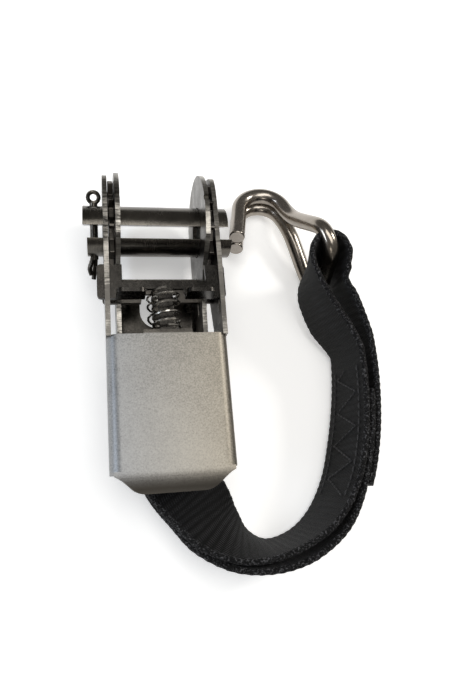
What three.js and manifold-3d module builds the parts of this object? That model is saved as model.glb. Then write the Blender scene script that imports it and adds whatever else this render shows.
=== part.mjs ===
// A compact ratchet buckle for 25 mm webbing, with its short tail and a double-J wire hook.
// Millimetres, +Z up. X runs along the spool's axle and +Y points to the axle end of the frame.
// The origin is on the flat underside of the frame's web, where the buckle lies on a surface.
import * as THREE from 'three';
import { mergeVertices } from 'three/addons/utils/BufferGeometryUtils.js';
import Module from 'manifold-3d';

const wasm = await Module();
wasm.setup();

// ---- driving dimensions ----
const AXLE = { y: 45, z: 21 };          // the spool's axis, seen from the origin
const SHEET = 1.6;                      // steel sheet of the frame and the handle
const GAP = 0.3;                        // clearance between neighbouring pieces
const FRAME_INNER = 28.6;               // clear width between the frame's side plates
const FRAME_OUTER = FRAME_INNER + 2 * SHEET;
const FRAME_NOSE = 20.6;                // round nose of the frame's side plates
const FRAME_END = -80;                  // Y of the frame's fixed end, from the axle
const BASE = -AXLE.z;                   // Z of the frame's underside, from the axle
const HANDLE_OUTER = 39.8;
const HANDLE_INNER = HANDLE_OUTER - 2 * SHEET;
const HANDLE_NOSE = 19.6;
const HANDLE_HUB = 11.4;
const HANDLE_EDGE = 14.4;               // Z of the handle's upper edge above the axle
const HANDLE_LOW = -1.5;                // Z of the lower edge of the cover's flanges
const COVER_TOP = 13.6;                 // Z of the cover's upper face, from the axle
const COVER_FRONT = -43.5;              // Y of the cover's edge nearest to the axle
const COVER_END = -88.6;
const LIP_END = -94;
const LIP_WIDTH = 22;
const LIP_BEND = 9;
const SPOOL_R = 9;
const SPOOL_SLOT = 4.4;
const SPOOL_LENGTH = 51.4;
const SPOOL_CENTRE = -0.4;
const SPOOL_SHIFT = 0.7;                // the loose half bars lie shifted against each other
const SPOOL_TILT = THREE.MathUtils.degToRad(27);
const BORE = SPOOL_R + GAP;
const WHEEL = { tip: 18, root: 14, teeth: 12, thickness: 1.8, phase: 210.2 };
const WHEEL_X = FRAME_OUTER / 2 + GAP;
const PIN = { r: 1.4, ring: 1.9, wire: 0.75, ringY: 11.9 };
const PIN_X = -HANDLE_OUTER / 2 - GAP - PIN.ring - PIN.wire - 0.1;
const PAWL_SHEET = 1.6;
const DRIVE = { z: 11, tip: -18.3, ear: -18.3, bar: -24.4, mid: -27.2, back: -30.5, left: 22.4, right: 20.8, travel: 5 };
const LOCK = { z: -8, tip: -12.9, ear: -19.6, bar: -15.5, mid: -21.5, back: -25, left: 20.6, right: 20.6, travel: 4.6, seat: -43 };
const TAB = { inner: 6.8, outer: 16.2, top: 6.6, corner: 2.2 };
const SPRING = { r: 4.5, wire: 0.45, turns: 5 };
const STEM_WIDTH = 5;
const SEAT = { y: COVER_FRONT + 1.4, low: 4.5, root: 16, tip: 9 };
const BOLT = { y: -72, z: -9.5, r: 2.5, sleeve: 3.6, head: 5.4 };
const WEB = { front: -14, notch: 6.5, notchY: -24, dimpleX: 12.4, dimpleY: -22.3, dimpleR: 2.2 };
const STRAP = { width: 25, thickness: 5.8, layer: 2.5 };
const WIRE_R = 2.65;
const HOOK = { bend: 10.1, tip: 14.5, shaft: 35, half: 14.75, splay: 27.3, turn: 153.5, offset: 2.85 };
const HOOK_SWING = 30;                  // degrees that the hook swings away from the spool
const EYE = { x: 63.6, y: -14.7, z: -0.4 };     // middle of the hook's bar, from the axle

// ---- colours ----
const steel = (name, colour, roughness) =>
  Object.assign(new THREE.MeshStandardMaterial({ color: colour, roughness, metalness: 1 }), { name });
const satinSteel = steel('satin_steel', 0xb9b3aa, 0.42);
const plateSteel = steel('plate_steel', 0x8d8983, 0.34);
const turnedSteel = steel('turned_steel', 0x96918a, 0.28);
const wireSteel = steel('wire_steel', 0xa8a29a, 0.2);
const webbingBlack = new THREE.MeshStandardMaterial({ color: 0x17171a, roughness: 0.9, metalness: 0 });

// ---- geometry helpers ----
const v2 = (x, y) => new THREE.Vector2(x, y);
const v3 = (x, y, z) => new THREE.Vector3(x, y, z);
const polar = (radius, degrees) => {
  const angle = THREE.MathUtils.degToRad(degrees);
  return v2(radius * Math.cos(angle), radius * Math.sin(angle));
};

// Points of an arc about a centre, in degrees.
function arc(centre, radius, from, to, steps) {
  const points = [];
  for (let i = 0; i <= steps; i++) {
    points.push(polar(radius, from + (to - from) * i / steps).add(centre));
  }
  return points;
}

// The same outline with each corner rounded, or only the corners that the list names.
function rounded(points, radius, corners = points.map((_, i) => i)) {
  return points.flatMap((point, i) => {
    if (!corners.includes(i)) return [point];
    const before = points[(i + points.length - 1) % points.length].clone().sub(point);
    const after = points[(i + 1) % points.length].clone().sub(point);
    const start = point.clone().addScaledVector(before, Math.min(radius / before.length(), 0.5));
    const end = point.clone().addScaledVector(after, Math.min(radius / after.length(), 0.5));
    return new THREE.QuadraticBezierCurve(start, point, end).getPoints(4);
  });
}

// A sheet outline in Y and Z, as thick as x0..x1 along X.
function sideSheet(points, x0, x1, holes = []) {
  const shape = new THREE.Shape(points);
  for (const hole of holes) shape.holes.push(new THREE.Path(hole));
  const geometry = new THREE.ExtrudeGeometry(shape, { depth: x1 - x0, bevelEnabled: false });
  geometry.translate(0, 0, x0);
  return geometry.applyMatrix4(new THREE.Matrix4().makeBasis(v3(0, 1, 0), v3(0, 0, 1), v3(1, 0, 0)));
}

// An outline in X and Z, carried along Y from y0 to y1.
function channel(points, y0, y1) {
  const geometry = new THREE.ExtrudeGeometry(new THREE.Shape(points), { depth: y1 - y0, bevelEnabled: false });
  geometry.translate(0, 0, -y1);
  return geometry.applyMatrix4(new THREE.Matrix4().makeBasis(v3(1, 0, 0), v3(0, 0, 1), v3(0, -1, 0)));
}

// An outline in X and Y, as thick as z0..z1.
function flatSheet(points, z0, z1, holes = []) {
  const shape = new THREE.Shape(points);
  for (const hole of holes) shape.holes.push(new THREE.Path(hole));
  const geometry = new THREE.ExtrudeGeometry(shape, { depth: z1 - z0, bevelEnabled: false });
  return geometry.translate(0, 0, z0);
}

function box(x0, x1, y0, y1, z0, z1) {
  const geometry = new THREE.BoxGeometry(x1 - x0, y1 - y0, z1 - z0);
  return geometry.translate((x0 + x1) / 2, (y0 + y1) / 2, (z0 + z1) / 2);
}

// A round bar along X.
function barX(radius, x0, x1, y = 0, z = 0, sides = 32) {
  const geometry = new THREE.CylinderGeometry(radius, radius, x1 - x0, sides);
  return geometry.rotateZ(Math.PI / 2).translate((x0 + x1) / 2, y, z);
}

// A round wire along a curve.
function wire(curve, radius, steps, sides) {
  const section = new THREE.Shape(arc(v2(0, 0), radius, 0, 360 * (sides - 1) / sides, sides - 1));
  return new THREE.ExtrudeGeometry(section, { steps, bevelEnabled: false, extrudePath: curve });
}

// ---- solids: joining and cutting ----
function solid(geometry) {
  const bare = geometry.clone();
  bare.deleteAttribute('normal');
  bare.deleteAttribute('uv');
  const merged = mergeVertices(bare, 1e-4);
  const vertProperties = new Float32Array(merged.attributes.position.array);
  const triVerts = new Uint32Array(merged.index.array);
  return new wasm.Manifold(new wasm.Mesh({ numProp: 3, vertProperties, triVerts }));
}

function geometryOf(manifold) {
  const mesh = manifold.getMesh();
  const geometry = new THREE.BufferGeometry();
  geometry.setAttribute('position', new THREE.BufferAttribute(mesh.vertProperties, 3));
  geometry.setIndex(new THREE.BufferAttribute(mesh.triVerts, 1));
  return geometry;
}

const join = (...parts) => parts.map(solid).reduce((a, b) => a.add(b));
const cut = (body, ...tools) => tools.map(solid).reduce((a, b) => a.subtract(b), body);

const buckle = new THREE.Group();
buckle.position.set(0, AXLE.y, AXLE.z);

function piece(parent, name, geometry, material) {
  const shape = geometry.isBufferGeometry ? geometry : geometryOf(geometry);
  const mesh = new THREE.Mesh(shape, material);
  mesh.name = name;
  parent.add(mesh);
  return mesh;
}

// ---- U channel section shared by the frame and the handle ----
// Open upwards when side is 1 and downwards when side is -1; z is the outer face of its web.
function channelSection(outer, z, height, side, bend) {
  const half = outer / 2;
  const inner = half - SHEET;
  const r = bend - SHEET;
  const points = [
    v2(-half, z + side * height),
    ...arc(v2(-half + bend, z + side * bend), bend, 180, side > 0 ? 270 : 90, 5),
    ...arc(v2(half - bend, z + side * bend), bend, side > 0 ? 270 : 90, side > 0 ? 360 : 0, 5),
    v2(half, z + side * height),
    v2(inner, z + side * height),
    ...arc(v2(inner - r, z + side * bend), r, 0, side > 0 ? -90 : 90, 4),
    ...arc(v2(-inner + r, z + side * bend), r, side > 0 ? -90 : 90, side > 0 ? -180 : 180, 4),
    v2(-inner, z + side * height),
  ];
  return points;
}

// ---- frame ----
function frameChannel() {
  const nose = arc(v2(0, 0), FRAME_NOSE, -90, 118, 24);
  const notch = [v2(2.2, FRAME_NOSE + 1), v2(2.2, FRAME_NOSE - 1.3), v2(4.2, FRAME_NOSE - 1.6), v2(4.8, FRAME_NOSE + 1)];
  const side = [
    v2(FRAME_END + 2, BASE), v2(WEB.front - 6, BASE), ...nose,
    v2(-16.5, 7.5), v2(-30, 0), v2(-62, -2.5),
    ...arc(v2(BOLT.y, BOLT.z), 8, 70, 180, 7),
    v2(FRAME_END, BASE + 2),
  ];
  const sides = solid(sideSheet(side, -30, 30));
  const folded = solid(channel(channelSection(FRAME_OUTER, BASE, 50, 1, 3), FRAME_END - 5, 30));
  const inside = FRAME_INNER / 2;
  const webNotch = [
    v2(-inside, 40), v2(-inside, WEB.front - 4), v2(-inside + 4, WEB.front),
    v2(-WEB.notch - 2, WEB.front), v2(-WEB.notch, WEB.front - 2),
    ...arc(v2(0, WEB.notchY), WEB.notch, 180, 360, 12),
    v2(WEB.notch, WEB.front - 2), v2(WEB.notch + 2, WEB.front),
    v2(inside - 4, WEB.front), v2(inside, WEB.front - 4), v2(inside, 40),
  ];
  const noseFree = box(-FRAME_OUTER / 2 - 1, FRAME_OUTER / 2 + 1, WEB.front - 4, 40, BASE - 1, BASE + 3.2);
  const lockSlot = box(-30, 30, LOCK.back - LOCK.travel - GAP, LOCK.bar + GAP, LOCK.z - 1.1, LOCK.z + 1.1);
  const dimples = [-1, 1].map((side) => {
    const dimple = new THREE.SphereGeometry(WEB.dimpleR, 16, 8);
    dimple.scale(1, 1, 0.5);
    return dimple.translate(side * WEB.dimpleX, WEB.dimpleY, BASE + SHEET + 0.2);
  });
  const seat = solid(box(-7, 7, LOCK.seat - SHEET, LOCK.seat, BASE + 0.5, LOCK.z + 5));
  const stemSlot = solid(box(-STEM_WIDTH / 2 - GAP, STEM_WIDTH / 2 + GAP, LOCK.seat - 4, LOCK.seat + 4,
    LOCK.z - 1.1, LOCK.z + 1.1));
  const plates = folded.intersect(sides).add(seat.subtract(stemSlot));
  const pocket = solid(barX(BORE, -30, 30)).add(solid(barX(BOLT.r + GAP, -30, 30, BOLT.y, BOLT.z, 20)));
  return cut(
    plates.subtract(pocket),
    lockSlot, flatSheet(webNotch, BASE - 1, BASE + 3.2), noseFree, sideSheet(notch, -30, 30), ...dimples,
  );
}

// ---- handle ----
function handlePlate() {
  const lipStart = LIP_END + LIP_BEND * Math.sin(THREE.MathUtils.degToRad(50));
  const side = [
    ...arc(v2(0, 0), HANDLE_HUB, 215, 300, 7),
    ...arc(v2(0, 0), HANDLE_NOSE, -18, 30, 8),
    ...new THREE.QuadraticBezierCurve(polar(HANDLE_NOSE, 34), v2(13, HANDLE_EDGE), v2(3, HANDLE_EDGE)).getPoints(5),
    v2(-18, HANDLE_EDGE), v2(-40, COVER_TOP), v2(lipStart, COVER_TOP), v2(lipStart, HANDLE_LOW + 3),
    v2(lipStart + 3, HANDLE_LOW), v2(-40, HANDLE_LOW), v2(-22, -6.6),
  ];
  const sides = solid(sideSheet(side, -40, 40));
  const folded = solid(channel(channelSection(HANDLE_OUTER, COVER_TOP, 60, -1, 4), lipStart - 1, COVER_FRONT + 0.01));
  // The cover's end curls down into a thumb lip.
  const curl = v2(lipStart + 0.01, COVER_TOP - LIP_BEND);
  const curled = solid(sideSheet([
    ...arc(curl, LIP_BEND, 90, 140, 8), ...arc(curl, LIP_BEND - SHEET, 140, 90, 8),
  ], -HANDLE_OUTER / 2 + 1.2, HANDLE_OUTER / 2 - 1.2));
  const plateBox = (s) => box(s > 0 ? HANDLE_INNER / 2 : -HANDLE_OUTER / 2, s > 0 ? HANDLE_OUTER / 2 : -HANDLE_INNER / 2,
    COVER_FRONT - 0.5, 40, -40, 40);
  const both = folded.add(solid(plateBox(1))).add(solid(plateBox(-1))).intersect(sides).add(curled);
  const half = LIP_WIDTH / 2;
  const outer = HANDLE_OUTER / 2 + 1;
  // S-shaped shoulders narrow the cover down to its lip.
  const shoulder = (s) => {
    const curve = new THREE.CubicBezierCurve(
      v2(s * (outer - 1), COVER_END + 0.6), v2(s * (half + 4), COVER_END - 0.6),
      v2(s * (half + 3), LIP_END), v2(s * (half - 2), LIP_END));
    return [...curve.getPoints(10), v2(s * (half - 2), LIP_END - 4), v2(s * outer, LIP_END - 4), v2(s * outer, COVER_END + 0.6)];
  };
  const seatTab = [v2(-SEAT.root / 2, COVER_TOP), v2(-SEAT.tip / 2, SEAT.low), v2(SEAT.tip / 2, SEAT.low), v2(SEAT.root / 2, COVER_TOP)];
  const tab = channel(seatTab, COVER_FRONT - 0.3, SEAT.y);
  const stemSlot = box(-STEM_WIDTH / 2 - GAP, STEM_WIDTH / 2 + GAP, COVER_FRONT - 2, SEAT.y + 1,
    DRIVE.z - PAWL_SHEET / 2 - GAP, DRIVE.z + PAWL_SHEET / 2 + GAP);
  const wingSlot = box(-40, 40, DRIVE.back - DRIVE.travel - GAP, DRIVE.ear + GAP,
    DRIVE.z - PAWL_SHEET / 2 - GAP, DRIVE.z + PAWL_SHEET / 2 + GAP);
  const body = both.add(solid(tab));
  return cut(body, barX(BORE, -40, 40), wingSlot, stemSlot,
    flatSheet(shoulder(1), -40, 40), flatSheet(shoulder(-1).reverse(), -40, 40));
}

// ---- spool ----
function mandrelHalf(side) {
  const face = SPOOL_SLOT / 2;
  const start = THREE.MathUtils.radToDeg(Math.asin(face / SPOOL_R));
  const section = arc(v2(0, 0), SPOOL_R, start, 180 - start, 16).map((p) => v2(p.y * side, p.x));
  const middle = SPOOL_CENTRE - side * SPOOL_SHIFT;
  const x0 = middle - SPOOL_LENGTH / 2;
  const bar = sideSheet(side > 0 ? section.reverse() : section, x0, x0 + SPOOL_LENGTH);
  const hole = new THREE.CylinderGeometry(PIN.r + GAP, PIN.r + GAP, 40, 16).translate(PIN_X, 0, 0);
  return cut(solid(bar), hole);
}

function wheelOutline() {
  const pitch = 360 / WHEEL.teeth;
  const points = [];
  for (let tooth = 0; tooth < WHEEL.teeth; tooth++) {
    const start = WHEEL.phase - pitch * 0.24 + tooth * pitch;
    points.push(polar(WHEEL.root, start));
    points.push(polar(WHEEL.root, start + pitch * 0.28));
    points.push(polar(WHEEL.root + 0.2, start + pitch * 0.5));
    points.push(polar(WHEEL.tip - 1.2, start + pitch * 0.78));
    points.push(polar(WHEEL.tip, start + pitch * 0.88));
    points.push(polar(WHEEL.tip, start + pitch * 0.97));
  }
  return points;
}

function ratchetWheel(side) {
  const x0 = side > 0 ? WHEEL_X : -WHEEL_X - WHEEL.thickness;
  const blank = solid(sideSheet(wheelOutline(), x0, x0 + WHEEL.thickness));
  const keep = SPOOL_SLOT - 2 * GAP;
  const bridge = new THREE.BoxGeometry(60, keep, 40).rotateX(SPOOL_TILT);
  return blank.subtract(solid(barX(BORE, -30, 30)).subtract(solid(bridge)));
}

// A split pin: an open ring at the top, a shank through both half bars and two legs bent aside.
function splitPin() {
  const shank = new THREE.CylinderGeometry(PIN.r, PIN.r, 20, 16);
  const ring = new THREE.TorusGeometry(PIN.ring, PIN.wire, 8, 20).translate(0, PIN.ringY, 0);
  const legs = [
    [v3(-0.4, -8.6, 0.5), v3(-1.1, -11, 0.6), v3(-1.8, -13.4, 0.3), v3(-1.2, -15.6, 0)],
    [v3(0.35, -8.6, -0.5), v3(0.2, -11.5, -0.7), v3(-0.2, -14.5, -0.9), v3(-0.5, -17.2, -1.1)],
  ].map((path) => wire(new THREE.CatmullRomCurve3(path), 0.85, 10, 8));
  return join(shank, ring, ...legs);
}

// ---- pawls ----
// A flat pawl: a tooth and an ear at each end, a bar between them and a stem that carries the spring.
function pawlOutline(spec, toothInner, toothOuter, stemEnd) {
  const stem = STEM_WIDTH / 2;
  const half = (reach) => {
    const corners = [
      v2(toothInner, spec.bar), v2(toothInner, spec.tip), v2(toothOuter, spec.tip), v2(toothOuter, spec.ear),
      v2(reach, spec.ear), v2(reach, spec.back), v2(TAB.inner, spec.back), v2(TAB.inner - 0.6, spec.mid), v2(stem, spec.mid),
      v2(stem, stemEnd),
    ];
    return rounded(corners, 1.4, [4, 5]);
  };
  const left = half(spec.left).map((p) => v2(-p.x, p.y)).reverse();
  return [...half(spec.right), ...left];
}

function drivePawl() {
  const z0 = DRIVE.z - PAWL_SHEET / 2;
  const outline = pawlOutline(DRIVE, 14.1, 18, -54);
  const tabs = [-1, 1].map((side) => {
    const upright = rounded([
      v2(TAB.inner, DRIVE.z), v2(TAB.outer, DRIVE.z),
      v2(TAB.outer, DRIVE.z + TAB.top), v2(TAB.inner, DRIVE.z + TAB.top),
    ], TAB.corner, [2, 3]).map((p) => v2(side * p.x, p.y));
    return channel(side > 0 ? upright : upright.reverse(), DRIVE.back, DRIVE.back + PAWL_SHEET);
  });
  return join(flatSheet(outline.reverse(), z0, z0 + PAWL_SHEET), ...tabs);
}

function lockPawl() {
  const z0 = LOCK.z - PAWL_SHEET / 2;
  const toothOuter = WHEEL_X + WHEEL.thickness + 0.1;
  const outline = pawlOutline(LOCK, FRAME_OUTER / 2 + 0.2, toothOuter, -46);
  return solid(flatSheet(outline.reverse(), z0, z0 + PAWL_SHEET));
}

// A coil spring along Y about a stem, with its ends just short of their seats.
class CoilCurve extends THREE.Curve {
  constructor(from, to, z) {
    super();
    Object.assign(this, { from, to, z });
  }

  getPoint(t, target = new THREE.Vector3()) {
    const angle = t * SPRING.turns * 2 * Math.PI + Math.PI / 2;
    const along = t - 0.06 * Math.sin(2 * Math.PI * t);
    return target.set(
      SPRING.r * Math.cos(angle), this.from + (this.to - this.from) * along, this.z + SPRING.r * Math.sin(angle));
  }
}

const coil = (from, to, z) => wire(new CoilCurve(from, to, z), SPRING.wire, SPRING.turns * 14, 6);

// ---- fixed end ----
function fixedPin() {
  const inner = FRAME_OUTER / 2 + 0.25;
  const headEnd = inner + 1.5;
  return join(
    barX(BOLT.r, -headEnd, headEnd, BOLT.y, BOLT.z, 20),
    barX(BOLT.head, -headEnd, -inner, BOLT.y, BOLT.z, 24),
    barX(BOLT.head, inner, headEnd, BOLT.y, BOLT.z, 24),
  );
}

function fixedSleeve() {
  const half = FRAME_INNER / 2 - GAP;
  return cut(solid(barX(BOLT.sleeve, -half, half, BOLT.y, BOLT.z, 24)), barX(BOLT.r + 0.25, -30, 30, BOLT.y, BOLT.z, 20));
}

// ---- webbing tail ----
// Points are the middle of the doubled webbing; roll turns it from flat to standing on its edge.
const strapRoute = [
  [0, -72, -9.5, 0], [0.1, -80, -9.8, 0], [3.4, -88, -10, 7], [9, -96.5, -9.8, 18], [14.6, -105.5, -9.2, 36],
  [22.6, -112.6, -8.3, 60], [33, -115.6, -7.8, 78], [44, -113.2, -7.6, 82], [54, -106.5, -7.6, 80],
  [62, -95, -7.5, 78], [67.6, -79, -7.5, 78], [71.2, -60, -7.3, 82], [71.8, -44, -6.4, 86], [69.4, -30, -4.4, 88],
];

function strapFrame(curve, t) {
  const centre = curve.getPoint(t);
  const tangent = curve.getTangent(t);
  const across = new THREE.Vector3().crossVectors(tangent, v3(0, 0, 1)).normalize();
  const scaled = t * (strapRoute.length - 1);
  const index = Math.min(Math.floor(scaled), strapRoute.length - 2);
  const roll = THREE.MathUtils.lerp(strapRoute[index][3], strapRoute[index + 1][3], scaled - index);
  const angle = THREE.MathUtils.degToRad(roll);
  const width = across.multiplyScalar(Math.cos(angle)).add(v3(0, 0, Math.sin(angle)));
  width.addScaledVector(tangent, -width.dot(tangent)).normalize();
  return { centre, width, normal: new THREE.Vector3().crossVectors(tangent, width) };
}

function ribbon(steps, width, thickness) {
  const curve = new THREE.CatmullRomCurve3(strapRoute.map(([x, y, z]) => v3(x, y, z)));
  const position = [];
  const index = [];
  for (let i = 0; i <= steps; i++) {
    const at = strapFrame(curve, i / steps);
    for (const [a, b] of [[-1, -1], [1, -1], [1, 1], [-1, 1]]) {
      const corner = at.centre.clone().addScaledVector(at.width, a * width / 2);
      corner.addScaledVector(at.normal, b * thickness / 2);
      position.push(...corner.toArray());
    }
  }
  for (let i = 0; i < steps; i++) {
    for (let k = 0; k < 4; k++) {
      const a = 4 * i + k;
      const b = 4 * i + (k + 1) % 4;
      index.push(a, b, b + 4, a, b + 4, a + 4);
    }
  }
  const last = 4 * steps;
  index.push(0, 2, 1, 0, 3, 2, last, last + 1, last + 2, last, last + 2, last + 3);
  const geometry = new THREE.BufferGeometry();
  geometry.setAttribute('position', new THREE.Float32BufferAttribute(position, 3));
  geometry.setAttribute('normal', new THREE.Float32BufferAttribute(new Array(position.length).fill(0), 3));
  geometry.setAttribute('uv', new THREE.Float32BufferAttribute(new Array(position.length / 3 * 2).fill(0), 2));
  geometry.setIndex(index);
  return geometry;
}

// ---- hook pose: its own X is the bar, Y runs along the shaft and Z towards the tips ----
const barDirection = v3(-0.07, 0.31, 0.95).normalize();
const shaftDirection = v3(-0.33, 0.89, -0.32);
shaftDirection.addScaledVector(barDirection, -shaftDirection.dot(barDirection)).normalize();
const tipDirection = new THREE.Vector3().crossVectors(barDirection, shaftDirection);
const hookPose = new THREE.Matrix4().makeBasis(barDirection, shaftDirection, tipDirection);
hookPose.setPosition(EYE.x, EYE.y, EYE.z);

function webbingTail() {
  const body = solid(ribbon(56, STRAP.width, STRAP.thickness));
  // The eye is an open loop of one layer about the hook's bar.
  const loop = (grow) => {
    const r = 4.6 + grow;
    return [...arc(v2(0, 1), r, -20, 200, 14), v2(-r * 0.6, -12 - grow), v2(r * 0.9, -14 - grow)];
  };
  const across = new THREE.Vector3().crossVectors(v3(0.18, -0.95, 0.3), barDirection).normalize();
  const along = new THREE.Vector3().crossVectors(barDirection, across);
  const pose = new THREE.Matrix4().makeBasis(across.clone().negate(), along.clone().negate(), barDirection);
  pose.setPosition(EYE.x, EYE.y, EYE.z);
  const half = STRAP.width / 2;
  const outer = solid(flatSheet(loop(STRAP.layer), -half, half).applyMatrix4(pose));
  const inner = solid(flatSheet(loop(0), -half - 2, half + 2).applyMatrix4(pose));
  const fixedEye = solid(barX(BOLT.sleeve + GAP + STRAP.layer, -STRAP.width / 2, STRAP.width / 2, BOLT.y, BOLT.z, 28));
  const fixedHole = solid(barX(BOLT.sleeve + GAP, -30, 30, BOLT.y, BOLT.z, 28));
  const webbing = body.add(outer).subtract(inner).add(fixedEye).subtract(fixedHole);
  // Fatter copies of the wire clear the eye for each place that the hook swings through.
  const clearances = [];
  for (let swing = -HOOK_SWING; swing <= 0; swing += 5) {
    const turned = new THREE.Matrix4().makeRotationX(THREE.MathUtils.degToRad(swing));
    clearances.push(hookWire(WIRE_R + 0.5, 60, 10, turned));
  }
  return cut(webbing, ...clearances);
}

// The wire's route and its solid; a fatter copy clears the webbing's eye.
function hookWire(radius, steps, sides, turned = new THREE.Matrix4()) {
  const points = [];
  const turn = THREE.MathUtils.degToRad(HOOK.turn);
  const halfPath = [];
  for (let i = 1; i <= 3; i++) halfPath.push(v3(HOOK.half * (0.3 * i - 0.02), 0, 0));
  for (let i = 1; i <= 9; i++) {
    const t = i / 9;
    const x = HOOK.half + (HOOK.offset - HOOK.half) * t ** 1.4;
    halfPath.push(v3(x, HOOK.splay * Math.sin(t * Math.PI / 2), 0));
  }
  for (let i = 1; i <= 2; i++) halfPath.push(v3(HOOK.offset, HOOK.splay + (HOOK.shaft - HOOK.splay) * i / 2, 0));
  for (let i = 1; i <= 9; i++) {
    const a = turn * i / 9;
    halfPath.push(v3(HOOK.offset, HOOK.shaft + HOOK.bend * Math.sin(a), HOOK.bend * (1 - Math.cos(a))));
  }
  const last = halfPath[halfPath.length - 1];
  for (let i = 1; i <= 3; i++) {
    const s = HOOK.tip * i / 3;
    halfPath.push(v3(HOOK.offset, last.y + Math.cos(turn) * s, last.z + Math.sin(turn) * s));
  }
  for (const p of [...halfPath].reverse()) points.push(v3(-p.x, p.y, p.z));
  points.push(v3(0, 0, 0), ...halfPath);
  const curve = new THREE.CatmullRomCurve3(points, false, 'centripetal');
  return wire(curve, radius, steps, sides).applyMatrix4(turned).applyMatrix4(hookPose);
}

// ---- assembly ----
piece(buckle, 'frame_channel', frameChannel(), plateSteel);
piece(buckle, 'fixed_end_pin', fixedPin(), turnedSteel);
piece(buckle, 'fixed_end_sleeve', fixedSleeve(), turnedSteel);
piece(buckle, 'handle_plate', handlePlate(), satinSteel);

const spool = new THREE.Group();
spool.rotation.x = SPOOL_TILT;
buckle.add(spool);
piece(spool, 'mandrel_upper_half', mandrelHalf(1), turnedSteel);
piece(spool, 'mandrel_lower_half', mandrelHalf(-1), turnedSteel);
for (const [side, word] of [[-1, 'left'], [1, 'right']]) {
  piece(buckle, `ratchet_wheel_${word}`, ratchetWheel(side), plateSteel);
}
const pin = piece(spool, 'split_pin', splitPin(), turnedSteel);
pin.position.x = PIN_X;

piece(buckle, 'drive_pawl', drivePawl(), plateSteel);
piece(buckle, 'drive_pawl_spring', coil(DRIVE.mid - 0.9, SEAT.y + 0.9, DRIVE.z), wireSteel);
piece(buckle, 'lock_pawl', lockPawl(), plateSteel);
piece(buckle, 'lock_pawl_spring', coil(LOCK.mid - 0.9, LOCK.seat + 0.9, LOCK.z), wireSteel);
piece(buckle, 'webbing_tail', webbingTail(), webbingBlack);
piece(buckle, 'wire_hook', hookWire(WIRE_R, 100, 12), wireSteel);

export default buckle;
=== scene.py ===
"""Looks for a compact ratchet buckle with a doubled webbing tail and a double-J wire hook."""

import math
import bmesh
import bpy
import numpy as np
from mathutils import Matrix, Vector


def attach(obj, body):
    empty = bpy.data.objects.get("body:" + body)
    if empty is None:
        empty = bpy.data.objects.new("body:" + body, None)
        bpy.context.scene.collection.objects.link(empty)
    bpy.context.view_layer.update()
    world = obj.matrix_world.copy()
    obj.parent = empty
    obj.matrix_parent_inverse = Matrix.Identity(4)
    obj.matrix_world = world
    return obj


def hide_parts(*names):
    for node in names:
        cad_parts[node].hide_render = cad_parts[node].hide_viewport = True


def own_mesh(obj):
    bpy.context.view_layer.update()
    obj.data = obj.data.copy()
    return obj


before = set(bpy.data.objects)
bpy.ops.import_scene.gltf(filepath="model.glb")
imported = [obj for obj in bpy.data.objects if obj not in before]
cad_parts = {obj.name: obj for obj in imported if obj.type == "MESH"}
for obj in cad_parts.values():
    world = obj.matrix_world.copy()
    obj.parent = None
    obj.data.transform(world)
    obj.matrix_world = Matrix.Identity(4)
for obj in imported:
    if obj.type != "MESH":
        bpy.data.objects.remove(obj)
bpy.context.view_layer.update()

MM = 0.001
AXLE = Vector((0.0, 45.0, 21.0))       # the spool's axis, in millimetres from the origin


# ---------------------------------------------------------------- camera, floor and light

def look():
    """The camera stands above the buckle's fixed end, a little to its left."""
    data = bpy.data.cameras.new("camera")
    data.sensor_width = 36.0
    data.lens = 31.6
    data.clip_start = 0.01
    camera = bpy.data.objects.new("camera", data)
    camera.location = (-0.0224, -0.0612, 0.2214)
    camera.rotation_euler = [math.radians(a) for a in (17.9, -11.3, -5.0)]
    bpy.context.scene.collection.objects.link(camera)
    bpy.context.scene.camera = camera
    bpy.context.scene.view_settings.view_transform = "Standard"


def floor():
    """A pale table top, a hair below the buckle, that glows a little like a light table."""
    half = 1.6
    corners = [(-half, -half), (half, -half), (half, half), (-half, half)]
    mesh = bpy.data.meshes.new("floor")
    mesh.from_pydata([(x, y, -0.0002) for x, y in corners], [], [(0, 1, 2, 3)])
    obj = bpy.data.objects.new("floor", mesh)
    bpy.context.scene.collection.objects.link(obj)
    material = bpy.data.materials.new("floor")
    material.use_nodes = True
    shader = material.node_tree.nodes["Principled BSDF"]
    shader.inputs["Base Color"].default_value = (0.93, 0.93, 0.925, 1)
    shader.inputs["Roughness"].default_value = 0.9
    shader.inputs["Emission Color"].default_value = (1, 1, 0.995, 1)
    shader.inputs["Emission Strength"].default_value = 0.4
    mesh.materials.append(material)


def area_light(name, place, size, power, colour=(1, 1, 1), aim=(0, 0, 0.02)):
    data = bpy.data.lights.new(name, "AREA")
    data.shape = "RECTANGLE"
    data.size, data.size_y = size
    data.energy = power
    data.color = colour
    light = bpy.data.objects.new(name, data)
    light.location = place
    light.rotation_euler = (Vector(aim) - Vector(place)).to_track_quat("-Z", "Y").to_euler()
    bpy.context.scene.collection.objects.link(light)


def lights():
    world = bpy.data.worlds.new("studio")
    world.use_nodes = True
    background = world.node_tree.nodes["Background"]
    background.inputs["Color"].default_value = (1.0, 0.97, 0.93, 1)
    background.inputs["Strength"].default_value = 0.16
    bpy.context.scene.world = world
    area_light("window", (0.02, 0.02, 0.85), (0.8, 0.42), 3.6, (1, 0.985, 0.96))
    area_light("left_strip", (-0.75, 0.0, 0.38), (0.5, 0.16), 2.4, (0.78, 0.87, 1))
    area_light("right_lamp", (0.7, 0.25, 0.62), (0.22, 0.22), 3.2, (1, 0.97, 0.92))
    area_light("front_lamp", (-0.15, -0.75, 0.5), (0.3, 0.12), 0.35, (1, 0.96, 0.9))


look()
floor()
lights()


# ---------------------------------------------------------------- materials

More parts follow.
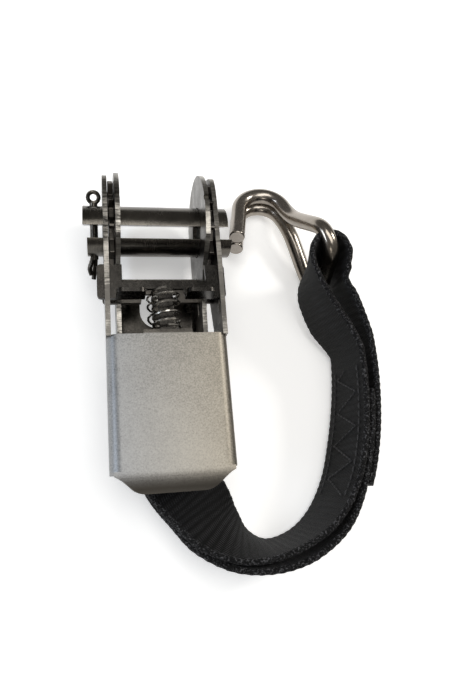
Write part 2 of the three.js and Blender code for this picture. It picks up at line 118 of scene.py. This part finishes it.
class Nodes:
    """A short way to write a material's node tree."""

    def __init__(self, name):
        self.material = bpy.data.materials.new(name)
        self.material.use_nodes = True
        self.tree = self.material.node_tree
        self.shader = self.tree.nodes["Principled BSDF"]

    def add(self, kind, **settings):
        node = self.tree.nodes.new(kind)
        for key, value in settings.items():
            setattr(node, key, value)
        return node

    def link(self, output, target):
        self.tree.links.new(output, target)

    def coords(self, kind="Object", scale=(1, 1, 1)):
        source = self.add("ShaderNodeTexCoord")
        mapping = self.add("ShaderNodeMapping")
        mapping.inputs["Scale"].default_value = scale
        self.link(source.outputs[kind], mapping.inputs["Vector"])
        return mapping.outputs["Vector"]

    def noise(self, vector, scale, detail=3.0, roughness=0.55):
        node = self.add("ShaderNodeTexNoise")
        node.inputs["Scale"].default_value = scale
        node.inputs["Detail"].default_value = detail
        node.inputs["Roughness"].default_value = roughness
        self.link(vector, node.inputs["Vector"])
        return node.outputs["Fac"]

    def ramp(self, value, low, high, a=0.0, b=1.0):
        node = self.add("ShaderNodeMapRange")
        for key, number in (("From Min", low), ("From Max", high), ("To Min", a), ("To Max", b)):
            node.inputs[key].default_value = number
        self.link(value, node.inputs["Value"])
        return node.outputs["Result"]

    def math(self, operation, a, b=None):
        node = self.add("ShaderNodeMath", operation=operation)
        for socket, value in zip(node.inputs, (a, b)):
            if value is None:
                continue
            if isinstance(value, (int, float)):
                socket.default_value = value
            else:
                self.link(value, socket)
        return node.outputs[0]

    def mix(self, factor, a, b):
        node = self.add("ShaderNodeMix", data_type="RGBA")
        self.link(factor, node.inputs["Factor"])
        for socket, value in ((node.inputs["A"], a), (node.inputs["B"], b)):
            if isinstance(value, tuple):
                socket.default_value = (*value, 1)
            else:
                self.link(value, socket)
        return node.outputs["Result"]

    def bump(self, height, strength, distance, below=None):
        node = self.add("ShaderNodeBump")
        node.inputs["Strength"].default_value = strength
        node.inputs["Distance"].default_value = distance
        self.link(height, node.inputs["Height"])
        if below is not None:
            self.link(below, node.inputs["Normal"])
        return node.outputs["Normal"]


def steel_look(n, dark, light, rough, grain, grain_size,
               tint=(1, 1, 1), contrast=(0.36, 0.64), stretch=(1, 1, 1)):
    """Bare steel: two tones in soft clouds, fine surface grain and rubbed bright spots."""
    place = n.coords("Object")
    clouds = n.noise(place, 70, 4, 0.6)
    wide = n.noise(place, 22, 2)
    fine = n.noise(n.coords("Object", stretch), grain_size, 3, 0.75)
    mottle = n.math("ADD", n.math("MULTIPLY", clouds, 0.6), n.math("MULTIPLY", fine, 0.4))
    tone = n.mix(n.ramp(mottle, *contrast), dark, light)
    cooled = tuple(a * b for a, b in zip(light, tint))
    colour = n.mix(n.ramp(wide, 0.4, 0.62, 0.0, 0.55), tone, cooled)
    rub = n.math("ADD", n.math("MULTIPLY", n.noise(place, 160, 3), 0.6), n.math("MULTIPLY", fine, 0.4))
    return colour, n.ramp(rub, 0.35, 0.65, *rough), n.bump(fine, grain, 0.00005)


def steel(name, *look):
    n = Nodes(name)
    colour, rough, normal = steel_look(n, *look)
    n.link(colour, n.shader.inputs["Base Color"])
    n.shader.inputs["Metallic"].default_value = 1.0
    n.link(rough, n.shader.inputs["Roughness"])
    n.link(normal, n.shader.inputs["Normal"])
    return n.material


PLATE_LOOK = ((0.028, 0.026, 0.024), (0.13, 0.12, 0.105), (0.24, 0.4), 0.3, 1500, (0.45, 0.45, 0.47))


def handle_steel():
    """Bead-blasted cover, sparkling, with a painted reflection that cools it to the left. Painted shade
    darkens its lip, and it gives way to dark plate behind it, darkened as painted shade.
    """
    n = Nodes("satin_steel")
    split = n.add("ShaderNodeSeparateXYZ")
    n.link(n.coords("Object"), split.inputs["Vector"])
    speck = n.noise(n.coords("Object"), 1900, 2, 0.8)
    clouds = n.noise(n.coords("Object"), 45, 3, 0.6)
    mottle = n.math("ADD", n.math("MULTIPLY", speck, 0.7), n.math("MULTIPLY", clouds, 0.3))
    blasted = n.mix(n.ramp(mottle, 0.36, 0.66), (0.19, 0.181, 0.167), (0.45, 0.432, 0.396))
    # Painted reflection: the cover's colour turns blue towards its left side and warm towards its right,
    # as the blue strip and the warm lamps would reflect in it.
    side = n.ramp(split.outputs["X"], -0.0165, 0.0165)
    tint = n.mix(side, (0.86, 0.91, 1.0), (1.0, 0.96, 0.88))
    reflection_tinted = n.add("ShaderNodeMix", data_type="RGBA", blend_type="MULTIPLY")
    reflection_tinted.inputs["Factor"].default_value = 1.0
    n.link(blasted, reflection_tinted.inputs["A"])
    n.link(tint, reflection_tinted.inputs["B"])
    # Painted shade: the curled lip at the cover's front gets a dark brown colour for the dark reflection
    # and shade on it.
    lip_shade = n.ramp(split.outputs["Y"], -0.0475, -0.0425)
    cover = n.mix(lip_shade, (0.11, 0.1, 0.086), reflection_tinted.outputs["Result"])
    # Painted shade: the side plates behind the cover are the same steel as the cover, but take the dark
    # plate look for the shade and dark reflections on them.
    plate, plate_rough, _ = steel_look(n, *PLATE_LOOK)
    back = n.ramp(split.outputs["Y"], 0.0014, 0.0018)
    n.link(n.mix(back, cover, plate), n.shader.inputs["Base Color"])
    n.shader.inputs["Metallic"].default_value = 1.0
    satin_rough = n.ramp(mottle, 0.35, 0.65, 0.42, 0.58)
    front_part = n.math("MULTIPLY", satin_rough, n.math("SUBTRACT", 1.0, back))
    n.link(n.math("ADD", front_part, n.math("MULTIPLY", plate_rough, back)), n.shader.inputs["Roughness"])
    n.link(n.bump(speck, 0.7, 0.00004), n.shader.inputs["Normal"])
    return n.material


SATIN = handle_steel()
PLATE = steel("plate_steel", *PLATE_LOOK)
DARK = steel("dark_steel", (0.018, 0.017, 0.016), (0.075, 0.07, 0.062), (0.18, 0.32), 0.2, 1200,
             (0.7, 0.7, 0.74))
SHEARED = steel("sheared_edge", (0.05, 0.047, 0.043), (0.5, 0.475, 0.43), (0.25, 0.45), 1.0, 1500,
                (0.6, 0.6, 0.6), (0.47, 0.58), (0.12, 1, 1))
TURNED = steel("turned_steel", (0.03, 0.028, 0.025), (0.19, 0.175, 0.15), (0.17, 0.3), 0.5, 1000,
               (0.6, 0.6, 0.62), (0.36, 0.64), (3.0, 0.4, 0.4))
WIRE = steel("wire_steel", (0.25, 0.222, 0.186), (0.4, 0.36, 0.31), (0.2, 0.28), 0.1, 900,
             (0.85, 0.87, 0.95))
SPRING = steel("spring_steel", (0.3, 0.285, 0.26), (0.6, 0.57, 0.52), (0.2, 0.3), 0.1, 900)


# ---------------------------------------------------------------- pieces from the frame

def place(name, mesh, body, node, slot, material):
    obj = bpy.data.objects.new(name, mesh)
    bpy.context.scene.collection.objects.link(obj)
    mesh.materials.append(material)
    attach(obj, body)
    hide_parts(node)
    return obj


def refined(node, body, slot, material, bevel=0.25, segments=2, sheared=False):
    """A finished copy of a frame piece: its facets merge into whole faces and its edges are broken.

    The narrow faces that the shears left along a sheet's outline get a rougher, brighter steel.
    """
    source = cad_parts[node]
    mesh = bpy.data.meshes.new(node + "_fine")
    bm = bmesh.new()
    bm.from_mesh(source.data)
    bmesh.ops.remove_doubles(bm, verts=bm.verts, dist=2e-6)
    bmesh.ops.dissolve_limit(bm, angle_limit=math.radians(0.5), verts=bm.verts, edges=bm.edges)
    bmesh.ops.recalc_face_normals(bm, faces=bm.faces)
    for face in bm.faces:
        face.smooth = True
    for edge in bm.edges:
        edge.smooth = edge.calc_face_angle(0) < math.radians(28)
    for face in bm.faces:
        span = [v.co.x for v in face.verts]
        narrow = abs(face.normal.x) < 0.1 and max(span) - min(span) < 1.8 * MM
        face.material_index = 1 if sheared and narrow else 0
    bm.to_mesh(mesh)
    bm.free()
    obj = place(node + "_fine", mesh, body, node, slot, material)
    if sheared:
        mesh.materials.append(SHEARED)
    if bevel:
        edge_break = obj.modifiers.new("edge_break", "BEVEL")
        edge_break.width = bevel * MM
        edge_break.segments = segments
        edge_break.limit_method = "ANGLE"
        edge_break.angle_limit = math.radians(28)
        edge_break.harden_normals = True
        edge_break.use_clamp_overlap = True
        flatten = obj.modifiers.new("flat_faces", "WEIGHTED_NORMAL")
        flatten.weight = 100
        flatten.keep_sharp = True
    return obj


refined("handle_plate", "handle", "satin_steel", SATIN, 0.2, sheared=True)
refined("frame_channel", "frame", "plate_steel", PLATE, 0.2, sheared=True)
refined("fixed_end_pin", "frame", "turned_steel", TURNED, 0.3)
refined("fixed_end_sleeve", "frame", "turned_steel", TURNED, 0.2)
for half in ("upper", "lower"):
    refined(f"mandrel_{half}_half", "spool", "turned_steel", TURNED, 0.4, 3)
for side in ("left", "right"):
    refined(f"ratchet_wheel_{side}", "spool", "plate_steel", PLATE, 0.2)
refined("split_pin", "spool", "turned_steel", TURNED, 0.1)
refined("drive_pawl", "drive_pawl", "plate_steel", DARK, 0.45, 3)
refined("lock_pawl", "lock_pawl", "plate_steel", PLATE, 0.2)
# Each spring stands on its seat; here it only gets a finished copy with a mesh of its own.
for kind, body, seat, keep in (("drive", "handle", 0.0029, 0.67), ("lock", "frame", 0.002, 0.78)):
    coil = refined(f"{kind}_pawl_spring", body, "wire_steel", SPRING, 0)
    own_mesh(coil)


# ---------------------------------------------------------------- smooth curves

def spline(points, count):
    """Evenly spaced points on a centripetal Catmull-Rom curve through a list of points."""
    p = np.array(points, float)
    p = np.vstack([2 * p[0] - p[1], p, 2 * p[-1] - p[-2]])
    out = []
    for i in range(1, len(p) - 2):
        a, b, c, d = p[i - 1:i + 3]
        ab, bc, cd = (max(np.linalg.norm(q[:3] - r[:3]), 1e-6) ** 0.5 for q, r in ((b, a), (c, b), (d, c)))
        start = (b - a) / ab - (c - a) / (ab + bc) + (c - b) / bc
        end = (c - b) / bc - (d - b) / (bc + cd) + (d - c) / cd
        start, end = start * bc, end * bc
        for t in np.linspace(0, 1, 24, endpoint=False):
            out.append((2 * t ** 3 - 3 * t ** 2 + 1) * b + (t ** 3 - 2 * t ** 2 + t) * start
                       + (3 * t ** 2 - 2 * t ** 3) * c + (t ** 3 - t ** 2) * end)
    out.append(p[-2])
    out = np.array(out)
    run = np.r_[0, np.cumsum(np.linalg.norm(np.diff(out[:, :3], axis=0), axis=1))]
    at = np.linspace(0, run[-1], count)
    return np.stack([np.interp(at, run, out[:, k]) for k in range(out.shape[1])], 1), run[-1]


def unit(v):
    return v / np.linalg.norm(v, axis=-1, keepdims=True)


# ---------------------------------------------------------------- hook

HOOK = {"bend": 9.3, "tip": 16.0, "shaft": 34.8, "corner": 20.4, "corner_r": 7.5, "neck_r": 20.0,
        "splay": 27.3, "turn": 149.0, "offset": 3.2}
WIRE_R = 3.0
EYE = np.array([63.6, -14.7, -0.4])
BAR = unit(np.array([-0.07, 0.31, 0.95]))
SHAFT = np.array([-0.33, 0.89, -0.32])
SHAFT = unit(SHAFT - BAR * (SHAFT @ BAR))
TIPS = np.cross(BAR, SHAFT)


def fillet(before, corner, after, radius, steps):
    """The arc that rounds one corner of a path in a plane."""
    corner = np.array(corner, float)
    back, ahead = unit(np.array(before, float) - corner), unit(np.array(after, float) - corner)
    half = math.acos(back @ ahead) / 2
    centre = corner + unit(back + ahead) * radius / math.sin(half)
    spoke = corner + back * radius / math.tan(half) - centre
    turn = (math.pi - 2 * half) * math.copysign(1, ahead[0] * back[1] - ahead[1] * back[0])
    x, y = spoke
    return [centre + [x * math.cos(a) - y * math.sin(a), x * math.sin(a) + y * math.cos(a)]
            for a in np.linspace(0, turn, steps + 1)]


def hook_half():
    """Half of the hook: from its bar round a shoulder, in to the neck and round to the tip."""
    beside, bend = HOOK["offset"], HOOK["bend"]
    corner, neck, shaft = (HOOK["corner"], 0), (beside, HOOK["splay"]), (beside, HOOK["shaft"])
    flat = fillet((0, 0), corner, neck, HOOK["corner_r"], 8)
    flat += fillet(corner, neck, shaft, HOOK["neck_r"], 4) + [shaft]
    path = [(x, y, 0) for x, y in flat]
    turn = math.radians(HOOK["turn"])
    for a in np.linspace(0, turn, 13)[1:]:
        path.append((beside, HOOK["shaft"] + bend * math.sin(a), bend * (1 - math.cos(a))))
    last = path[-1]
    for s in np.linspace(0, HOOK["tip"], 4)[1:]:
        path.append((beside, last[1] + math.cos(turn) * s, last[2] + math.sin(turn) * s))
    return path


def sweep(name, path, radius, sides=32, chamfer=0.35):
    """A round wire with broken end edges, along a path in millimetres."""
    path = np.array(path, float)
    tangent = unit(np.gradient(path, axis=0))
    up = np.zeros_like(path)
    up[0] = unit(np.cross(tangent[0], [0.3, 0.5, 0.8]))
    for i in range(1, len(path)):
        up[i] = unit(up[i - 1] - tangent[i] * (up[i - 1] @ tangent[i]))
    side = np.cross(tangent, up)
    angle = np.linspace(0, 2 * math.pi, sides, endpoint=False)
    rings = [(path[0], radius - chamfer, 0)]
    rings += [(path[0] + tangent[0] * chamfer, radius, 0)]
    rings += [(path[i], radius, i) for i in range(1, len(path) - 1)]
    rings += [(path[-1] - tangent[-1] * chamfer, radius, -1), (path[-1], radius - chamfer, -1)]
    verts = []
    for centre, r, i in rings:
        verts += [centre + r * (np.cos(a) * up[i] + np.sin(a) * side[i]) for a in angle]
    faces = []
    for k in range(len(rings) - 1):
        for j in range(sides):
            a, b = k * sides + j, k * sides + (j + 1) % sides
            faces.append((a, b, b + sides, a + sides))
    faces.append(tuple(reversed(range(sides))))
    faces.append(tuple((len(rings) - 1) * sides + j for j in range(sides)))
    mesh = bpy.data.meshes.new(name)
    mesh.from_pydata([tuple((AXLE + Vector(v)) * MM) for v in verts], [], faces)
    mesh.polygons.foreach_set("use_smooth", [True] * (len(faces) - 2) + [False] * 2)
    mesh.update()
    return mesh


half_path = hook_half()
whole = [(-x, y, z) for x, y, z in reversed(half_path)] + [(0, 0, 0)] + half_path
hook_path, _ = spline([EYE + x * BAR + y * SHAFT + z * TIPS for x, y, z in whole], 260)
place("hook_wire", sweep("hook_wire", hook_path, WIRE_R), "hook", "wire_hook", "wire_steel", WIRE)


# ---------------------------------------------------------------- webbing

# The middle of the tail, in millimetres from the axle, and its roll in degrees from flat to on edge.
ROUTE = [
    (0, -72, -9.5, 0), (0.1, -80, -9.8, 0), (3.4, -88, -10, 7), (9, -96.5, -9.8, 18),
    (14.6, -105.5, -9.2, 36), (22.6, -112.6, -8.3, 60), (33, -115.6, -7.8, 78), (44, -113.2, -7.6, 82),
    (54, -106.5, -7.6, 80), (62, -95, -7.5, 78), (67.6, -79, -7.5, 78), (71.2, -60, -7.3, 82),
    (71.8, -44, -6.4, 86), (69.4, -30, -4.4, 88),
]
PIN = (-72.0, -9.5)                    # Y and Z of the fixed end's pin, from the axle
PIN_TURN = 4.9                         # radius of the strip's middle as it goes round the pin's sleeve
WIDTH = 25.0
LAYER = 2.2                            # thickness of one layer
STACK = 2.35                           # from the middle of one layer to the middle of the next
PITCH = 2.4                            # length of one row of the weave


def route_frames(count=400):
    samples, length = spline(ROUTE, count)
    centre = samples[:, :3]
    tangent = unit(np.gradient(centre, axis=0))
    roll = np.radians(samples[:, 3])[:, None]
    across = unit(np.cross(tangent, [0, 0, 1]))
    width = np.cos(roll) * across + np.sin(roll) * np.array([0, 0, 1.0])
    width = unit(width - tangent * (width * tangent).sum(1, keepdims=True))
    return centre, width, np.cross(tangent, width), length


def strip_path():
    """The whole strip: up the outside to the hook's eye, back inside, round the sleeve and out again."""
    centre, width, normal, _ = route_frames()
    count = len(centre)
    s = np.linspace(0, 1, count)

    def layer(start, end, offset):
        """Stations along the route between two fractions, at an offset from its middle."""
        step = 1 if end > start else -1
        ids = range(int(start * (count - 1)), int(end * (count - 1)) + step, 6 * step)
        return [(*(centre[i] + offset(s[i]) * normal[i]), *width[i]) for i in ids]

    along = [0.0, 0.04, 0.09, 0.2, 0.42, 0.52, 0.62, 0.9, 1.0]
    inside = [-PIN_TURN, -3.4, -1.3, -1.3, -2.3, -2.4, -STACK, -STACK, -2.4]
    between = [PIN_TURN, 3.4, 1.3, 1.3, 2.3, 1.6, 0.0, 0.0, 0.0]

    def outer(_):
        return STACK

    def inner(t):
        return np.interp(t, along, inside)

    def middle(t):
        return np.interp(t, along, between)

    eye = [(68.3, -23.3, -2.2), (68.5, -17.0, -1.0), (67.6, -11.6, 0.0), (64.6, -8.4, 0.4),
           (60.6, -8.8, 0.2), (57.6, -12.0, -0.4), (56.4, -16.5, -1.0), (56.8, -21.5, -1.6),
           (58.8, -27.5, -2.6), (62.0, -34.0, -3.8)]
    stations = layer(0.6, 0.93, outer)
    stations += [(*p, *BAR) for p in eye]
    stations += layer(0.9, 0.02, inner)
    for angle in (60, 20, -20, -60):
        a = math.radians(angle)
        stations.append((0, PIN[0] + PIN_TURN * math.cos(a), PIN[1] + PIN_TURN * math.sin(a), -1, 0, 0))
    stations += layer(0.02, 0.8, middle)
    return stations


def strip_mesh(stations, name):
    """A woven strip: rounded selvedges with a scalloped edge, and cross ribs on both faces."""
    _, length = spline([p[:3] for p in stations], 10)
    rings = int(length / 0.5)
    samples, length = spline(stations, rings)
    centre = samples[:, :3]
    tangent = unit(np.gradient(centre, axis=0))
    width = samples[:, 3:]
    width = unit(width - tangent * (width * tangent).sum(1, keepdims=True))
    normal = np.cross(tangent, width)
    run = np.linspace(0, length, rings)
    half, thick = WIDTH / 2, LAYER / 2
    flat = np.linspace(-half + thick, half - thick, 34)
    arc = np.linspace(-math.pi / 2, math.pi / 2, 7)[1:-1]
    section = [(x, thick, 1) for x in flat]
    section += [(half - thick + thick * math.cos(a), -thick * math.sin(a), 0) for a in arc]
    section += [(x, -thick, -1) for x in flat[::-1]]
    section += [(-half + thick - thick * math.cos(a), thick * math.sin(a), 0) for a in arc]
    verts, uvs = [], []
    for i in range(rings):
        v = run[i]
        row = abs(math.sin(math.pi * v / PITCH))
        rib = 0.07 * row ** 0.6
        scallop = 0.3 * row
        for x, y, face in section:
            edge = max(0.0, (abs(x) - half + 2.4) / 2.4)
            grow = math.copysign(scallop * edge - 0.2 * edge, x)
            twist = 0.12 * math.sin(2 * math.pi * v / 2.7) * (1 if y > 0 else -1)
            lift = face * (rib - 0.05) * (1 - edge) + twist * edge
            verts.append(centre[i] + (x + grow) * width[i] + (y + lift) * normal[i])
            uvs.append(((x + half) * MM, v * MM))
    size = len(section)
    faces = []
    for i in range(rings - 1):
        for j in range(size):
            a, b = i * size + j, i * size + (j + 1) % size
            faces.append((a, b, b + size, a + size))
    faces.append(tuple(reversed(range(size))))
    faces.append(tuple((rings - 1) * size + j for j in range(size)))
    mesh = bpy.data.meshes.new(name)
    mesh.from_pydata([tuple((AXLE + Vector(v)) * MM) for v in verts], [], faces)
    layer = mesh.uv_layers.new(name="weave")
    for loop in mesh.loops:
        layer.data[loop.index].uv = uvs[loop.vertex_index]
    mesh.polygons.foreach_set("use_smooth", [True] * (len(faces) - 2) + [False] * 2)
    mesh.update()
    return mesh, length


def webbing_material():
    """Black polyester: slanted warp floats in staggered rows, and a rough, lint-flecked selvedge."""
    n = Nodes("webbing")
    source = n.add("ShaderNodeTexCoord")
    split = n.add("ShaderNodeSeparateXYZ")
    n.link(source.outputs["UV"], split.inputs["Vector"])
    u, v = split.outputs["X"], split.outputs["Y"]

    def wave(value, pitch):
        return n.math("ABSOLUTE", n.math("SINE", n.math("MULTIPLY", value, math.pi / (pitch * MM))))

    wander = n.math("MULTIPLY", n.noise(n.coords(), 240, 2), 0.5 * MM)
    slant = n.math("ADD", n.math("ADD", u, wander), n.math("MULTIPLY", v, 0.3))
    yarns = n.math("POWER", wave(slant, 0.85), 1.6)
    rows = n.math("POWER", wave(n.math("ADD", v, wander), PITCH), 1.4)
    fuzz = n.noise(n.coords(), 3000, 3, 0.8)
    patches = n.noise(n.coords(), 60, 3)
    floats = n.math("MULTIPLY", yarns, rows)
    edge = n.ramp(n.math("ABSOLUTE", n.math("SUBTRACT", u, WIDTH * MM / 2)), 10.6 * MM, 11.6 * MM)
    fleck = n.math("MULTIPLY", n.ramp(n.noise(n.coords(), 1500, 2, 0.6), 0.52, 0.66), edge)
    height = n.math("ADD", floats, n.math("MULTIPLY", fuzz, 0.45))
    # Painted highlight and shade: the cloth is lighter where the weave stands high and darker between the
    # yarns, and the patches vary it at random.
    tone = n.ramp(n.math("MULTIPLY", height, n.ramp(patches, 0.35, 0.7, 0.25, 1.0)), 0.25, 1.3)
    cloth = n.mix(tone, (0.0013, 0.0013, 0.0015), (0.021, 0.021, 0.0225))
    n.link(n.mix(fleck, cloth, (0.1, 0.1, 0.105)), n.shader.inputs["Base Color"])
    n.link(n.ramp(fuzz, 0.3, 0.7, 0.55, 0.8), n.shader.inputs["Roughness"])
    n.shader.inputs["Specular IOR Level"].default_value = 0.16
    n.shader.inputs["Sheen Weight"].default_value = 0.03
    n.shader.inputs["Sheen Roughness"].default_value = 0.5
    rough_edge = n.math("ADD", height, n.math("MULTIPLY", fleck, 1.2))
    n.link(n.bump(rough_edge, 0.9, 0.0003), n.shader.inputs["Normal"])
    return n.material


def stitches():
    """Paths of single stitches on the standing part's inner face: two long seams with a zigzag between."""
    centre, width, normal, length = route_frames()
    last = len(centre) - 1
    face = -(2.4 + LAYER / 2)

    def at(run, across, proud):
        k = run / length * last
        mid, wide, out = ([np.interp(k, range(last + 1), part[:, c]) for c in range(3)]
                          for part in (centre, width, normal))
        return np.array(mid) + across * np.array(wide) + (face - proud) * np.array(out)

    paths = []

    def seam(start, end, pitch, size, across):
        for run in np.arange(start, end - size, pitch):
            steps = np.linspace(0, 1, 6)
            paths.append([at(run + size * t, across(run + size * t), 0.28 * math.sin(math.pi * t) - 0.12)
                          for t in steps])

    start, end = 0.56 * length, 0.86 * length
    for side in (-8.4, 8.4):
        seam(start, end, 2.9, 2.3, lambda run, side=side: side)
    seam(start, end, 0.95, 0.75, lambda run: 6.4 * (4 * abs((run - start) / 13 % 1 - 0.5) - 1))
    return paths


def tubes(name, paths, radius, sides=6):
    """Many short closed tubes in one mesh."""
    verts, faces = [], []
    for path in paths:
        path = np.array(path)
        tangent = unit(np.gradient(path, axis=0))
        up = unit(np.cross(tangent, [0.3, 0.5, 0.8]))
        side = np.cross(tangent, up)
        first = len(verts)
        for i, centre in enumerate(path):
            r = radius * (0.55 if i in (0, len(path) - 1) else 1)
            verts += [centre + r * (math.cos(a) * up[i] + math.sin(a) * side[i])
                      for a in np.linspace(0, 2 * math.pi, sides, endpoint=False)]
        for i in range(len(path) - 1):
            for j in range(sides):
                a, b = first + i * sides + j, first + i * sides + (j + 1) % sides
                faces.append((a, b, b + sides, a + sides))
        faces.append(tuple(first + j for j in reversed(range(sides))))
        faces.append(tuple(first + (len(path) - 1) * sides + j for j in range(sides)))
    mesh = bpy.data.meshes.new(name)
    mesh.from_pydata([tuple((AXLE + Vector(v)) * MM) for v in verts], [], faces)
    mesh.polygons.foreach_set("use_smooth", [True] * len(faces))
    mesh.update()
    return mesh


def thread_material():
    """Black bonded thread: a fine twist and a faint sheen."""
    n = Nodes("thread")
    twist = n.noise(n.coords("Object"), 4200, 2, 0.7)
    tone = n.mix(n.ramp(twist, 0.4, 0.65), (0.008, 0.008, 0.009), (0.06, 0.06, 0.063))
    n.link(tone, n.shader.inputs["Base Color"])
    n.link(n.ramp(twist, 0.3, 0.7, 0.4, 0.6), n.shader.inputs["Roughness"])
    n.link(n.bump(twist, 0.8, 0.0001), n.shader.inputs["Normal"])
    n.shader.inputs["Specular IOR Level"].default_value = 0.4
    return n.material


WEBBING = webbing_material()
strip, strip_length = strip_mesh(strip_path(), "webbing_strip")
webbing = place("webbing_strip", strip, "webbing", "webbing_tail", "webbing_black", WEBBING)

thread = tubes("tail_stitching", stitches(), 0.3)
stitching = bpy.data.objects.new("tail_stitching", thread)
bpy.context.scene.collection.objects.link(stitching)
thread.materials.append(thread_material())
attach(stitching, "webbing")
